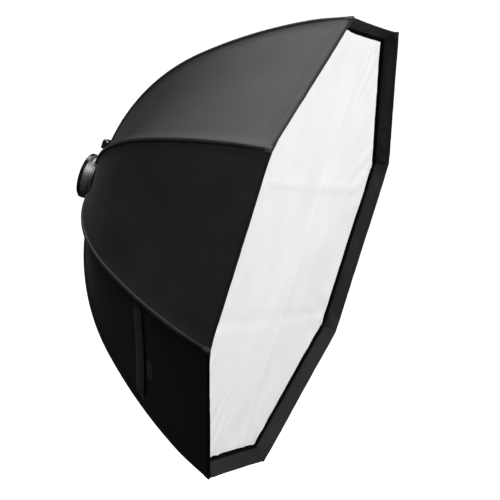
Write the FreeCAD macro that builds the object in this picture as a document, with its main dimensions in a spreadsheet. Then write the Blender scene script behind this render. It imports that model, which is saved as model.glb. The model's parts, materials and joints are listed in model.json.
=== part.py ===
"""Folding octagonal softbox on a rotating 100 mm collar mount, as a parametric FreeCAD document.

Millimetres. +Z is up and the diffuser faces -Y. The origin is on the optical axis at the rear face
of the mounting collar. "Depth" is the distance forward of that face, and rods are numbered
clockwise from the upper left corner, seen from the front.
"""

import FreeCAD, Part

import math
import os

import Sketcher

FIRST_ROD_DEG = -22.5
KNOB_FLUTES = 8
AXIS_Y = FreeCAD.Vector(0, 1, 0)
AXIS_Z = FreeCAD.Vector(0, 0, 1)
AXIS_X = FreeCAD.Vector(1, 0, 0)
NO_SHIFT = FreeCAD.Vector(0, 0, 0)

# Driving dimensions: alias -> (value, meaning)
DIMENSIONS = {
    "gore_half_angle": (22.5, "half the angle between two rods, degrees"),
    "rod_count": (8, "rods round the hub"),
    # collar mount and swivel
    "bore_radius": (50.0, "rubber collar bore, takes a 100 mm flash head"),
    "rubber_outer": (53.7, "rubber collar outside radius"),
    "rubber_start": (0.0, "depth where the rubber starts"),
    "rubber_end": (21.5, "depth where the rubber ends"),
    "ring_inner": (53.9, "mount ring seat radius"),
    "ring_rim": (60.0, "mount ring outer rim radius"),
    "ring_rim_depth": (11.0, "width of the rim"),
    "ring_edge": (2.2, "rounding of the rim's rear edge"),
    "ring_waist": (56.6, "mount ring radius in front of the rim"),
    "ring_waist_depth": (19.0, "depth where the rim has tapered to the waist"),
    "ring_end": (25.0, "front end of the mount ring"),
    "ring_seat_gap": (0.2, "gap between the mount ring's step and the neck"),
    "skirt_inner": (54.6, "mount ring radius over the neck"),
    "neck_start": (22.0, "rear end of the swivel neck"),
    "neck_inner": (50.6, "light opening through the neck"),
    "neck_outer": (54.5, "swivel neck journal radius"),
    "neck_end": (76.0, "front end of the swivel neck"),
    "retainer_start": (72.4, "rear face of the retaining ring"),
    "retainer_outer": (59.4, "retaining ring radius"),
    "screw_depth": (23.5, "depth of the radial neck screws"),
    "screw_radius": (1.0, "neck screw thread radius"),
    "screw_base": (52.0, "inner end of each neck screw"),
    "screw_head_radius": (1.9, "neck screw head radius"),
    "screw_head_height": (1.2, "neck screw head height"),
    "screw_head_gap": (0.1, "gap under each neck screw head"),
    # hub
    "journal_clearance": (54.8, "hub bore that turns on the neck"),
    "hub_neck_start": (30.0, "rear end of the hub neck"),
    "hub_neck_end": (50.8, "front end of the hub neck"),
    "hub_neck_outer": (58.0, "hub neck radius"),
    "hub_neck_edge": (1.0, "bevel at the hub neck's rear edge"),
    "hub_start": (49.8, "rear face of the hub body's floor"),
    "hub_floor": (1.5, "thickness of the hub body's floor under the clevis slots"),
    "hub_step": (51.0, "depth where the hub body widens inwards onto the swivel neck"),
    "hub_front": (68.0, "front face of the hub's clevis walls"),
    "hub_outer": (86.0, "hub body radius"),
    "hub_bevel": (2.0, "bevel at the hub body's rear edge"),
    "hub_step_gap": (0.2, "gap between the hub body and the hub neck"),
    "hub_inner_wall": (59.6, "sleeve radius"),
    "hub_sleeve_end": (72.0, "front end of the sleeve"),
    "slot_bottom": (68.2, "radius where each clevis slot starts"),
    "slot_width": (9.6, "width of each clevis slot"),
    "cover_outer": (67.8, "hub cover radius"),
    "cover_inner": (59.9, "hub cover hole radius"),
    "cover_thick": (2.0, "hub cover thickness"),
    "cover_screw_circle": (63.8, "radius of the cover screw circle"),
    "cover_screw_radius": (1.25, "cover screw thread radius"),
    "cover_head_radius": (2.3, "cover screw head radius"),
    "cover_head_height": (1.1, "cover screw head height"),
    "cover_screw_length": (9.0, "cover screw thread length"),
    "release_start": (71.7, "rear face of the release ring"),
    "release_end": (75.7, "front face of the release ring"),
    "release_inner": (60.1, "release ring hole radius"),
    "release_outer": (67.8, "release ring radius"),
    "release_tab_height": (6.0, "how far the finger tabs stand forward"),
    "release_tab_width": (14.0, "width of each finger tab"),
    "release_tab_inner": (62.3, "distance from the optical axis to each tab's inner face"),
    "release_tab_outer": (66.6, "distance from the optical axis to each tab's outer face"),
    "release_tab_root": (1.0, "how far each tab is rooted in the ring"),
    "collar_start": (48.0, "rear face of the cloth collar"),
    "collar_end": (49.6, "front face of the cloth collar"),
    "collar_inner": (58.4, "cloth collar hole radius"),
    "collar_bend": (84.0, "radius where the cloth collar turns forward"),
    "collar_outer": (104.0, "cloth collar radius"),
    "collar_rise": (6.6, "how far the collar's outer edge lies in front of its flat part"),
    # rotation lock
    "knob_depth": (32.0, "depth of the lock knob's axis"),
    "knob_radius": (15.0, "lock knob radius"),
    "knob_base": (81.0, "distance from the optical axis to the knob's base"),
    "knob_top": (107.5, "distance from the optical axis to the knob's top"),
    "knob_flute": (1.8, "radius of the finger flutes"),
    "knob_flute_circle": (15.6, "radius of the circle that the flutes stand on"),
    "knob_flute_start": (3.0, "plain band under the flutes"),
    "knob_fillet": (10.0, "rounding of the knob's top edge"),
    "boss_radius": (4.6, "radius of the boss that guides the stud"),
    "boss_base": (55.8, "height where the boss starts in the hub neck"),
    "boss_top": (80.0, "height of the boss above the optical axis"),
    "stud_radius": (2.5, "lock stud radius"),
    "stud_hole": (2.6, "hole for the lock stud"),
    "stud_base": (55.1, "inner end of the lock stud"),
    "stud_top": (98.0, "outer end of the lock stud"),
    # rods and their knuckles
    "hinge_radius": (78.0, "distance from the optical axis to each rod's hinge pin"),
    "hinge_depth": (58.6, "depth of each rod's hinge pin"),
    "rod_start_angle": (11.0, "rod slope at the hinge, degrees forward of radial"),
    "rod_mid_angle": (50.5, "slope where the two arcs of the rod meet"),
    "rod_end_angle": (67.6, "slope at the rod's tip"),
    "rod_arc_near": (592.0, "radius of the rod's bend near the hub"),
    "rod_arc_far": (1414.0, "radius of the rod's bend near the rim"),
    "rod_radius": (3.0, "rod radius"),
    "rod_inset": (16.0, "distance from the hinge pin to the rod's inner end"),
    "knuckle_eye": (7.0, "radius of the knuckle's eye"),
    "knuckle_rear": (4.6, "height of the knuckle's shank behind the pin's line"),
    "knuckle_front": (6.0, "height of the knuckle's shank in front of the pin's line"),
    "knuckle_length": (34.0, "length of the knuckle from its pin"),
    "knuckle_width": (9.0, "knuckle width"),
    "knuckle_socket": (3.15, "socket radius for the rod"),
    "socket_relief": (1.0, "room past the rod's inner end"),
    "pin_radius": (2.0, "hinge pin radius"),
    "pin_hole": (2.05, "pin hole radius"),
    "pin_length": (20.0, "hinge pin length"),
    # cloth shell
    "cloth_under": (5.2, "gap from the rod's centre line to the cloth's inside"),
    "cloth_over": (7.0, "gap from the rod's centre line to the cloth's outside"),
    "cloth_gap": (0.3, "clearance between neighbouring half gores"),
    "gore_start_angle": (13.2, "slope where the gores start at the hub"),
    "hem_depth": (634.0, "depth of the front edge"),
    "hem_thick": (2.0, "thickness of the folded front edge"),
    "lip_depth": (582.0, "depth where the inner lip band starts"),
    "gore_reach": (262.0, "length of the cloth's pad before it is cut at mid gore"),
    "cutter_reach": (720.0, "size of the cutting wedge"),
    "overcut": (5.0, "how far a cutter runs past the material"),
    # diffuser
    "diffuser_depth": (596.0, "depth of the diffuser's front face"),
    "diffuser_thick": (1.6, "diffuser cloth thickness"),
    "diffuser_flat": (570.5, "distance from the axis to each diffuser edge"),
    "tab_gap": (0.5, "gap between the diffuser and its corner tabs"),
    "tab_thick": (1.6, "corner tab thickness"),
    "tab_outer": (614.5, "outer end of each corner tab"),
    "tab_length": (46.0, "corner tab length"),
    "tab_width": (26.0, "corner tab width"),
    "tab_corner": (6.0, "size of the tab's inner corners"),
    "tab_taper": (12.0, "length of the tab's tapered outer end"),
}


def fill_sheet(document):
    """Write the driving dimensions into the spreadsheet, one alias a row."""
    sheet = document.addObject("Spreadsheet::Sheet", "dims")
    for row, (alias, (value, meaning)) in enumerate(DIMENSIONS.items(), start=1):
        sheet.set(f"A{row}", meaning)
        sheet.set(f"B{row}", str(value))
        sheet.setAlias(f"B{row}", alias)
    document.recompute()
    return sheet


def dim(alias):
    """The number behind an alias."""
    return DIMENSIONS[alias][0]


def frame_at(angle):
    """Placement whose X is tangential, Y is forward along the optical axis and Z is radial at angle."""
    return FreeCAD.Placement(
        NO_SHIFT, FreeCAD.Rotation(AXIS_Y, angle) * FreeCAD.Rotation(AXIS_Z, 180)
    )


def rod_angle(number):
    """Angle of a rod from +Z towards +X."""
    return FIRST_ROD_DEG + (number - 1) * 360.0 / dim("rod_count")


def new_body(document, label, placement):
    """An empty body with its label and place."""
    body = document.addObject("PartDesign::Body", label)
    body.Label = label
    body.Placement = placement
    return body


def origin_feature(body, role):
    """One of the body's own origin planes or axes."""
    for feature in body.Origin.OriginFeatures:
        if feature.Role == role:
            return feature
    raise ValueError(role)


def sketch_on(body, role, offset_expression=None):
    """A sketch on one of the body's origin planes, lifted along its normal if asked."""
    sketch = body.newObject("Sketcher::SketchObject", f"{body.Name}_sketch")
    sketch.AttachmentSupport = (origin_feature(body, role), [""])
    sketch.MapMode = "FlatFace"
    if offset_expression:
        sketch.setExpression("AttachmentOffset.Base.z", offset_expression)
    return sketch


def number_of(holder, expression):
    """Value of an expression of the sheet's cells."""
    value = holder.evalExpression(expression)
    return float(getattr(value, "Value", value))


def pin_coordinate(sketch, kind, geometry, position, expression):
    """Hold one coordinate of a point at the value of an expression."""
    if abs(number_of(sketch, expression)) < 1e-9:
        axis = -2 if kind == "DistanceX" else -1
        sketch.addConstraint(Sketcher.Constraint("PointOnObject", geometry, position, axis))
        return
    index = sketch.addConstraint(
        Sketcher.Constraint(kind, -1, 1, geometry, position, number_of(sketch, expression))
    )
    sketch.setExpression(f"Constraints[{index}]", expression)


def ends_of(sketch, geometry, first):
    """Point numbers of a segment's two ends, the one nearest to first in front."""
    to_start = (sketch.getPoint(geometry, 1) - first).Length
    to_end = (sketch.getPoint(geometry, 2) - first).Length
    return (1, 2) if to_start < to_end else (2, 1)


def draw_outline(sketch, corners, closed=True):
    """Lines and arcs through corners, each (x, y, bend) with expressions for x and y.

    bend is None for a straight stretch to the next corner, or (radius, (x, y) of a point on the arc).
    """
    places = [
        FreeCAD.Vector(number_of(sketch, x), number_of(sketch, y), 0) for x, y, _bend in corners
    ]
    count = len(corners) if closed else len(corners) - 1
    ends = []
    for index in range(count):
        first = places[index]
        second = places[(index + 1) % len(places)]
        bend = corners[index][2]
        if bend is None:
            piece = Part.LineSegment(first, second)
        else:
            middle = FreeCAD.Vector(number_of(sketch, bend[1][0]), number_of(sketch, bend[1][1]), 0)
            piece = Part.Arc(first, middle, second)
        geometry = sketch.addGeometry(piece, False)
        ends.append((geometry, *ends_of(sketch, geometry, first)))
    for index, (geometry, start, end) in enumerate(ends):
        pin_coordinate(sketch, "DistanceX", geometry, start, corners[index][0])
        pin_coordinate(sketch, "DistanceY", geometry, start, corners[index][1])
        if corners[index][2] is not None:
            radius = corners[index][2][0]
            held = sketch.addConstraint(
                Sketcher.Constraint("Radius", geometry, number_of(sketch, radius))
            )
            sketch.setExpression(f"Constraints[{held}]", radius)
        if index + 1 < len(ends) or closed:
            following = ends[(index + 1) % len(ends)]
            sketch.addConstraint(
                Sketcher.Constraint("Coincident", geometry, end, following[0], following[1])
            )
    if not closed:
        geometry, _start, end = ends[-1]
        pin_coordinate(sketch, "DistanceX", geometry, end, corners[-1][0])
        pin_coordinate(sketch, "DistanceY", geometry, end, corners[-1][1])


def draw_polygon(sketch, points):
    """A closed outline of straight lines."""
    draw_outline(sketch, [(x, y, None) for x, y in points])


def draw_circle(sketch, x, y, radius):
    """A circle held by expressions for its centre and radius."""
    centre = FreeCAD.Vector(number_of(sketch, x), number_of(sketch, y), 0)
    circle = Part.Circle(centre, AXIS_Z, number_of(sketch, radius))
    geometry = sketch.addGeometry(circle, False)
    pin_coordinate(sketch, "DistanceX", geometry, 3, x)
    pin_coordinate(sketch, "DistanceY", geometry, 3, y)
    held = sketch.addConstraint(Sketcher.Constraint("Radius", geometry, number_of(sketch, radius)))
    sketch.setExpression(f"Constraints[{held}]", radius)


def turn_profile(body, points):
    """Revolve an outline of (depth, radius) points about the optical axis."""
    sketch = sketch_on(body, "YZ_Plane")
    draw_polygon(sketch, points)
    solid = body.newObject("PartDesign::Revolution", f"{body.Name}_turned")
    solid.Profile = sketch
    solid.ReferenceAxis = (sketch, ["H_Axis"])
    solid.Angle = 360
    sketch.Visibility = False
    return solid


def pad(body, sketch, length, both_ways=False, reverse=False):
    """Raise a sketch by the value of an expression."""
    solid = body.newObject("PartDesign::Pad", f"{body.Name}_pad")
    solid.Profile = sketch
    solid.setExpression("Length", length)
    solid.Midplane = both_ways
    solid.Reversed = reverse
    return solid


def pocket(body, sketch, length, both_ways=False, reverse=False):
    """Cut a sketch by the value of an expression, and check that material went."""
    document = body.Document
    document.recompute()
    before = body.Shape.Volume
    cut = body.newObject("PartDesign::Pocket", f"{body.Name}_pocket")
    cut.Profile = sketch
    cut.setExpression("Length", length)
    cut.Midplane = both_ways
    cut.Reversed = reverse
    document.recompute()
    if body.Shape.Volume >= before:
        raise ValueError(f"{body.Label}: a pocket cut nothing")
    return cut


def repeat_round_axis(body, features, count_expression):
    """Repeat features evenly round the optical axis."""
    pattern = body.newObject("PartDesign::PolarPattern", f"{body.Name}_pattern")
    pattern.Originals = features
    pattern.Axis = (origin_feature(body, "Y_Axis"), [""])
    pattern.Angle = 360
    pattern.setExpression("Occurrences", count_expression)
    body.Tip = pattern
    return pattern


def on_rod(slope, lift="0"):
    """(depth, radius) expressions of the point where the rod's line has this slope, lifted outwards."""
    near = (
        "(dims.hinge_depth + dims.rod_arc_near * (cos(dims.rod_start_angle) - cos({0})))",
        "(dims.hinge_radius + dims.rod_arc_near * (sin({0}) - sin(dims.rod_start_angle)))",
    )
    depth = f"{near[0].format(slope)} - ({lift}) * cos({slope})"
    radius = f"{near[1].format(slope)} + ({lift}) * sin({slope})"
    return depth, radius


def on_far_arc(slope, lift="0"):
    """The same for the outer arc, which starts at rod_mid_angle."""
    middle = on_rod("dims.rod_mid_angle")
    depth = (
        f"{middle[0]} + dims.rod_arc_far * (cos(dims.rod_mid_angle) - cos({slope}))"
        f" - ({lift}) * cos({slope})"
    )
    radius = (
        f"{middle[1]} + dims.rod_arc_far * (sin({slope}) - sin(dims.rod_mid_angle))"
        f" + ({lift}) * sin({slope})"
    )
    return depth, radius


def slope_at_depth(depth, lift="0"):
    """Slope of the outer arc, lifted by lift, where it reaches a depth."""
    middle = on_rod("dims.rod_mid_angle")[0]
    return (
        f"acos(({middle} + dims.rod_arc_far * cos(dims.rod_mid_angle) - ({depth}))"
        f" / (dims.rod_arc_far + ({lift}))) / 1 deg"
    )


def half_way(first, second):
    """Expression half way between two slopes."""
    return f"((({first}) + ({second})) / 2)"


def make_mount_ring(document):
    """Flared collar housing behind the softbox."""
    body = new_body(document, "mount_ring", frame_at(FIRST_ROD_DEG))
    turn_profile(
        body,
        [
            ("0", "dims.ring_inner"),
            ("0", "dims.ring_rim - dims.ring_edge"),
            ("dims.ring_edge", "dims.ring_rim"),
            ("dims.ring_rim_depth", "dims.ring_rim"),
            ("dims.ring_waist_depth", "dims.ring_waist"),
            ("dims.ring_end", "dims.ring_waist"),
            ("dims.ring_end", "dims.skirt_inner"),
            ("dims.neck_start - dims.ring_seat_gap", "dims.skirt_inner"),
            ("dims.neck_start - dims.ring_seat_gap", "dims.ring_inner"),
        ],
    )
    drill_neck_screws(body)
    return body


def make_ring(document, label, start, end, inner, outer):
    """A plain ring between two depths and two radii."""
    body = new_body(document, label, frame_at(0))
    turn_profile(body, [(start, inner), (start, outer), (end, outer), (end, inner)])
    return body


def make_neck_screws(document):
    """Four radial screws that hold the neck in the mount ring."""
    body = new_body(document, "neck_screws", frame_at(FIRST_ROD_DEG))
    threads = sketch_on(body, "XY_Plane", "dims.screw_base")
    draw_circle(threads, "0", "dims.screw_depth", "dims.screw_radius")
    thread = pad(body, threads, "dims.ring_waist + dims.screw_head_gap - dims.screw_base")
    heads = sketch_on(body, "XY_Plane", "dims.ring_waist + dims.screw_head_gap")
    draw_circle(heads, "0", "dims.screw_depth", "dims.screw_head_radius")
    head = pad(body, heads, "dims.screw_head_height")
    repeat_round_axis(body, [thread, head], "dims.rod_count / 2")
    return body


def drill_neck_screws(body):
    """Four radial holes for the neck screws."""
    sketch = sketch_on(body, "XY_Plane", "dims.screw_base")
    draw_circle(sketch, "0", "dims.screw_depth", "dims.screw_radius")
    hole = pocket(body, sketch, "dims.ring_rim - dims.screw_base", reverse=True)
    repeat_round_axis(body, [hole], "dims.rod_count / 2")


def make_swivel_neck(document):
    """Metal journal that the hub turns on."""
    body = new_body(document, "swivel_neck", frame_at(FIRST_ROD_DEG))
    turn_profile(
        body,
        [
            ("dims.neck_start", "dims.neck_inner"),
            ("dims.neck_start", "dims.neck_outer"),
            ("dims.neck_end", "dims.neck_outer"),
            ("dims.neck_end", "dims.neck_inner"),
        ],
    )
    drill_neck_screws(body)
    return body


def make_hub_collar(document):
    """Cloth ring that closes the shell round the hub: flat behind the hub, then turned forward."""
    body = new_body(document, "hub_collar", frame_at(0))
    turn_profile(
        body,
        [
            ("dims.collar_start", "dims.collar_inner"),
            ("dims.collar_start", "dims.collar_bend"),
            ("dims.collar_start + dims.collar_rise", "dims.collar_outer"),
            ("dims.collar_end + dims.collar_rise", "dims.collar_outer"),
            ("dims.collar_end", "dims.collar_bend"),
            ("dims.collar_end", "dims.collar_inner"),
        ],
    )
    return body


def make_hub_neck(document):
    """Ring that turns on the swivel neck, with the boss that guides the lock stud."""
    body = new_body(document, "hub_neck", frame_at(0))
    turn_profile(
        body,
        [
            ("dims.hub_neck_start", "dims.journal_clearance"),
            ("dims.hub_neck_start", "dims.hub_neck_outer - dims.hub_neck_edge"),
            ("dims.hub_neck_start + dims.hub_neck_edge", "dims.hub_neck_outer"),
            ("dims.hub_neck_end", "dims.hub_neck_outer"),
            ("dims.hub_neck_end", "dims.journal_clearance"),
        ],
    )
    boss = sketch_on(body, "XY_Plane", "dims.boss_base")
    draw_circle(boss, "0", "dims.knob_depth", "dims.boss_radius")
    pad(body, boss, "dims.boss_top - dims.boss_base")
    hole = sketch_on(body, "XY_Plane", "dims.journal_clearance - dims.overcut")
    draw_circle(hole, "0", "dims.knob_depth", "dims.stud_hole")
    pocket(body, hole, "dims.boss_top", reverse=True)
    return body


def make_hub_body(document):
    """Hub with a floor, a sleeve and eight clevis slots for the knuckles."""
    body = new_body(document, "hub_body", frame_at(rod_angle(1)))
    turn_profile(
        body,
        [
            ("dims.hub_step", "dims.journal_clearance"),
            ("dims.hub_step", "dims.hub_neck_outer + dims.hub_step_gap"),
            ("dims.hub_start", "dims.hub_neck_outer + dims.hub_step_gap"),
            ("dims.hub_start", "dims.hub_outer - dims.hub_bevel"),
            ("dims.hub_start + dims.hub_bevel", "dims.hub_outer"),
            ("dims.hub_front", "dims.hub_outer"),
            ("dims.hub_front", "dims.hub_inner_wall"),
            ("dims.hub_sleeve_end", "dims.hub_inner_wall"),
            ("dims.hub_sleeve_end", "dims.journal_clearance"),
        ],
    )
    slot = sketch_on(body, "YZ_Plane")
    draw_polygon(
        slot,
        [
            ("dims.hub_start + dims.hub_floor", "dims.slot_bottom"),
            ("dims.hub_start + dims.hub_floor", "dims.hub_outer + dims.overcut"),
            ("dims.hub_front + dims.overcut", "dims.hub_outer + dims.overcut"),
            ("dims.hub_front + dims.overcut", "dims.slot_bottom"),
        ],
    )
    cut = pocket(body, slot, "dims.slot_width", both_ways=True)
    repeat_round_axis(body, [cut], "dims.rod_count")
    bores = sketch_on(body, "YZ_Plane")
    draw_circle(bores, "dims.hinge_depth", "dims.hinge_radius", "dims.pin_radius")
    bore = pocket(body, bores, "dims.pin_length", both_ways=True)
    repeat_round_axis(body, [bore], "dims.rod_count")
    taps = sketch_on(body, "XZ_Plane", "-dims.hub_front - dims.overcut")
    place_on_circle(taps, "dims.cover_screw_circle", "dims.cover_screw_radius")
    tap = pocket(body, taps, "dims.cover_screw_length + dims.overcut - dims.cover_thick", reverse=True)
    repeat_round_axis(body, [tap], "dims.rod_count")
    return body


def place_on_circle(sketch, circle_radius, radius):
    """A circle between two rods, at circle_radius from the optical axis."""
    draw_circle(
        sketch,
        f"({circle_radius}) * sin(dims.gore_half_angle)",
        f"({circle_radius}) * cos(dims.gore_half_angle)",
        radius,
    )


def make_hub_cover(document):
    """Ring that closes the hub's front, with eight screw holes."""
    body = new_body(document, "hub_cover", frame_at(rod_angle(1)))
    end = "dims.hub_front + dims.cover_thick"
    turn_profile(
        body,
        [
            ("dims.hub_front", "dims.cover_inner"),
            ("dims.hub_front", "dims.cover_outer"),
            (end, "dims.cover_outer"),
            (end, "dims.cover_inner"),
        ],
    )
    holes = sketch_on(body, "XZ_Plane", "-dims.hub_front - dims.cover_thick - dims.overcut")
    place_on_circle(holes, "dims.cover_screw_circle", "dims.cover_screw_radius")
    hole = pocket(body, holes, "dims.cover_thick + 2 * dims.overcut", reverse=True)
    repeat_round_axis(body, [hole], "dims.rod_count")
    return body


def make_cover_screws(document):
    """Eight pan head screws in the hub cover."""
    body = new_body(document, "cover_screws", frame_at(rod_angle(1)))
    seat = "-dims.hub_front - dims.cover_thick"
    threads = sketch_on(body, "XZ_Plane", seat)
    place_on_circle(threads, "dims.cover_screw_circle", "dims.cover_screw_radius")
    thread = pad(body, threads, "dims.cover_screw_length")
    heads = sketch_on(body, "XZ_Plane", seat)
    place_on_circle(heads, "dims.cover_screw_circle", "dims.cover_head_radius")
    head = pad(body, heads, "dims.cover_head_height", reverse=True)
    repeat_round_axis(body, [thread, head], "dims.rod_count")
    return body


def make_pivot_pins(document):
    """Eight hinge pins, one across each clevis slot."""
    body = new_body(document, "pivot_pins", frame_at(rod_angle(1)))
    sketch = sketch_on(body, "YZ_Plane")
    draw_circle(sketch, "dims.hinge_depth", "dims.hinge_radius", "dims.pin_radius")
    pin = pad(body, sketch, "dims.pin_length", both_ways=True)
    repeat_round_axis(body, [pin], "dims.rod_count")
    return body


def make_release_ring(document):
    """Ring in front of the hub cover that a short twist frees, with four finger tabs."""
    body = new_body(document, "release_ring", frame_at(0))
    turn_profile(
        body,
        [
            ("dims.release_start", "dims.release_inner"),
            ("dims.release_start", "dims.release_outer"),
            ("dims.release_end", "dims.release_outer"),
            ("dims.release_end", "dims.release_inner"),
        ],
    )
    tabs = sketch_on(body, "XZ_Plane", "-dims.release_end + dims.release_tab_root")
    draw_polygon(
        tabs,
        [
            ("-dims.release_tab_width / 2", "dims.release_tab_inner"),
            ("dims.release_tab_width / 2", "dims.release_tab_inner"),
            ("dims.release_tab_width / 2", "dims.release_tab_outer"),
            ("-dims.release_tab_width / 2", "dims.release_tab_outer"),
        ],
    )
    tab = pad(body, tabs, "dims.release_tab_height + dims.release_tab_root", reverse=True)
    repeat_round_axis(body, [tab], "dims.rod_count / 2")
    return body


def make_lock_knob(document):
    """Fluted knob above the hub neck."""
    body = new_body(document, "lock_knob", frame_at(0))
    sketch = sketch_on(body, "XY_Plane", "dims.knob_base")
    draw_circle(sketch, "0", "dims.knob_depth", "dims.knob_radius")
    blank = pad(body, sketch, "dims.knob_top - dims.knob_base")
    body.Document.recompute()
    crown = body.newObject("PartDesign::Fillet", "knob_crown")
    crown.Base = (blank, [edge_at_height(blank, dim("knob_top"))])
    crown.setExpression("Radius", "dims.knob_fillet")
    flutes = sketch_on(body, "XY_Plane", "dims.knob_base + dims.knob_flute_start")
    for flute in range(KNOB_FLUTES):
        angle = f"{(flute + 0.5) * 360 / KNOB_FLUTES}"
        draw_circle(
            flutes,
            f"dims.knob_flute_circle * sin({angle})",
            f"dims.knob_depth + dims.knob_flute_circle * cos({angle})",
            "dims.knob_flute",
        )
    pocket(body, flutes, "dims.knob_top", reverse=True)
    socket = sketch_on(body, "XY_Plane", "dims.knob_base - dims.overcut")
    draw_circle(socket, "0", "dims.knob_depth", "dims.stud_radius")
    pocket(body, socket, "dims.stud_top - dims.knob_base + dims.overcut", reverse=True)
    return body


def edge_at_height(feature, height):
    """Name of the round edge of a feature at a height."""
    for index, edge in enumerate(feature.Shape.Edges, start=1):
        box = edge.BoundBox
        if abs(box.ZMin - height) < 1e-6 and abs(box.ZMax - height) < 1e-6:
            return f"Edge{index}"
    raise ValueError("no edge at that height")


def make_lock_stud(document):
    """Threaded stud from the knob down to the swivel neck."""
    stud = document.addObject("Part::Cylinder", "lock_stud")
    stud.Label = "lock_stud"
    stud.setExpression("Radius", "dims.stud_radius")
    stud.setExpression("Height", "dims.stud_top - dims.stud_base")
    stud.setExpression("Placement.Base.y", "-dims.knob_depth")
    stud.setExpression("Placement.Base.z", "dims.stud_base")
    return stud


def knuckle_placement(number):
    """Frame on a rod's hinge pin, with Z along the rod's slope half way down its socket."""
    frame = frame_at(rod_angle(number))
    hinge = frame.multVec(FreeCAD.Vector(0, dim("hinge_depth"), dim("hinge_radius")))
    socket_middle = (dim("rod_inset") + dim("knuckle_length")) / 2
    slope = dim("rod_start_angle") + math.degrees(socket_middle / dim("rod_arc_near"))
    tilt = FreeCAD.Rotation(AXIS_X, -slope)
    return FreeCAD.Placement(hinge, frame.Rotation * tilt)


def make_knuckle(document, number):
    """Moulded end fitting: an eye on the hinge pin and a socket for the rod."""
    body = new_body(document, f"knuckle_{number}", knuckle_placement(number))
    sketch = sketch_on(body, "YZ_Plane")
    eye = "dims.knuckle_eye"
    rear = "dims.knuckle_rear"
    front = "dims.knuckle_front"
    draw_outline(
        sketch,
        [
            (f"-{rear}", f"sqrt({eye} * {eye} - {rear} * {rear})", (eye, ("0", f"-{eye}"))),
            (front, f"sqrt({eye} * {eye} - {front} * {front})", None),
            (front, "dims.knuckle_length", None),
            (f"-{rear}", "dims.knuckle_length", None),
        ],
    )
    pad(body, sketch, "dims.knuckle_width", both_ways=True)
    eye_hole = sketch_on(body, "YZ_Plane")
    draw_circle(eye_hole, "0", "0", "dims.pin_hole")
    pocket(body, eye_hole, "dims.knuckle_width + dims.overcut", both_ways=True)
    middle = "((dims.rod_inset + dims.knuckle_length) / 2)"
    behind = f"-({middle} * {middle} / (2 * dims.rod_arc_near))"
    socket = sketch_on(body, "XY_Plane", "dims.rod_inset - dims.socket_relief")
    draw_circle(socket, "0", behind, "dims.knuckle_socket")
    pocket(body, socket, "dims.knuckle_length", reverse=True)
    return body


def make_rod(document, number):
    """Spring rod bent in two arcs, from inside its knuckle to its pocket at the rim."""
    body = new_body(document, f"rod_{number}", frame_at(rod_angle(number)))
    inner = "(dims.rod_start_angle + dims.rod_inset / dims.rod_arc_near * 180 / pi)"
    first = on_rod(inner)
    middle = on_rod("dims.rod_mid_angle")
    tip = on_far_arc("dims.rod_end_angle")
    path = sketch_on(body, "YZ_Plane")
    near_bend = ("dims.rod_arc_near", on_rod(half_way(inner, "dims.rod_mid_angle")))
    far_bend = ("dims.rod_arc_far", on_far_arc(half_way("dims.rod_mid_angle", "dims.rod_end_angle")))
    draw_outline(path, [(*first, near_bend), (*middle, far_bend), (*tip, None)], closed=False)
    section = sketch_on(body, "XY_Plane", first[1])
    draw_circle(section, "0", first[0], "dims.rod_radius")
    pipe = body.newObject("PartDesign::AdditivePipe", f"{body.Name}_pipe")
    pipe.Profile = section
    pipe.Spine = (path, [])
    return body


def gore_outline():
    """(depth, radius, bend) corners of the cloth's section, with its folded hem and inner lip band."""
    under = "dims.cloth_under"
    over = "dims.cloth_over"
    start = "dims.gore_start_angle"
    middle = "dims.rod_mid_angle"
    edge = slope_at_depth("dims.hem_depth", over)
    edge_in = slope_at_depth("dims.hem_depth", f"-{over}")
    inside = slope_at_depth("(dims.hem_depth - dims.hem_thick)", under)
    inside_in = slope_at_depth("(dims.hem_depth - dims.hem_thick)", f"-{under}")
    lip = slope_at_depth("dims.lip_depth", f"-{over}")

    def near_bend(first, second, lift):
        return (f"dims.rod_arc_near + ({lift})", on_rod(half_way(first, second), lift))

    def far_bend(first, second, lift):
        return (f"dims.rod_arc_far + ({lift})", on_far_arc(half_way(first, second), lift))

    return [
        (*on_rod(start, under), near_bend(start, middle, under)),
        (*on_rod(middle, under), far_bend(middle, inside, under)),
        (*on_far_arc(inside, under), None),
        (*on_far_arc(inside_in, f"-{under}"), far_bend(inside_in, lip, f"-{under}")),
        (*on_far_arc(lip, f"-{under}"), None),
        (*on_far_arc(lip, f"-{over}"), far_bend(lip, edge_in, f"-{over}")),
        (*on_far_arc(edge_in, f"-{over}"), None),
        (*on_far_arc(edge, over), far_bend(edge, middle, over)),
        (*on_rod(middle, over), near_bend(middle, start, over)),
        (*on_rod(start, over), None),
    ]


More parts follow.
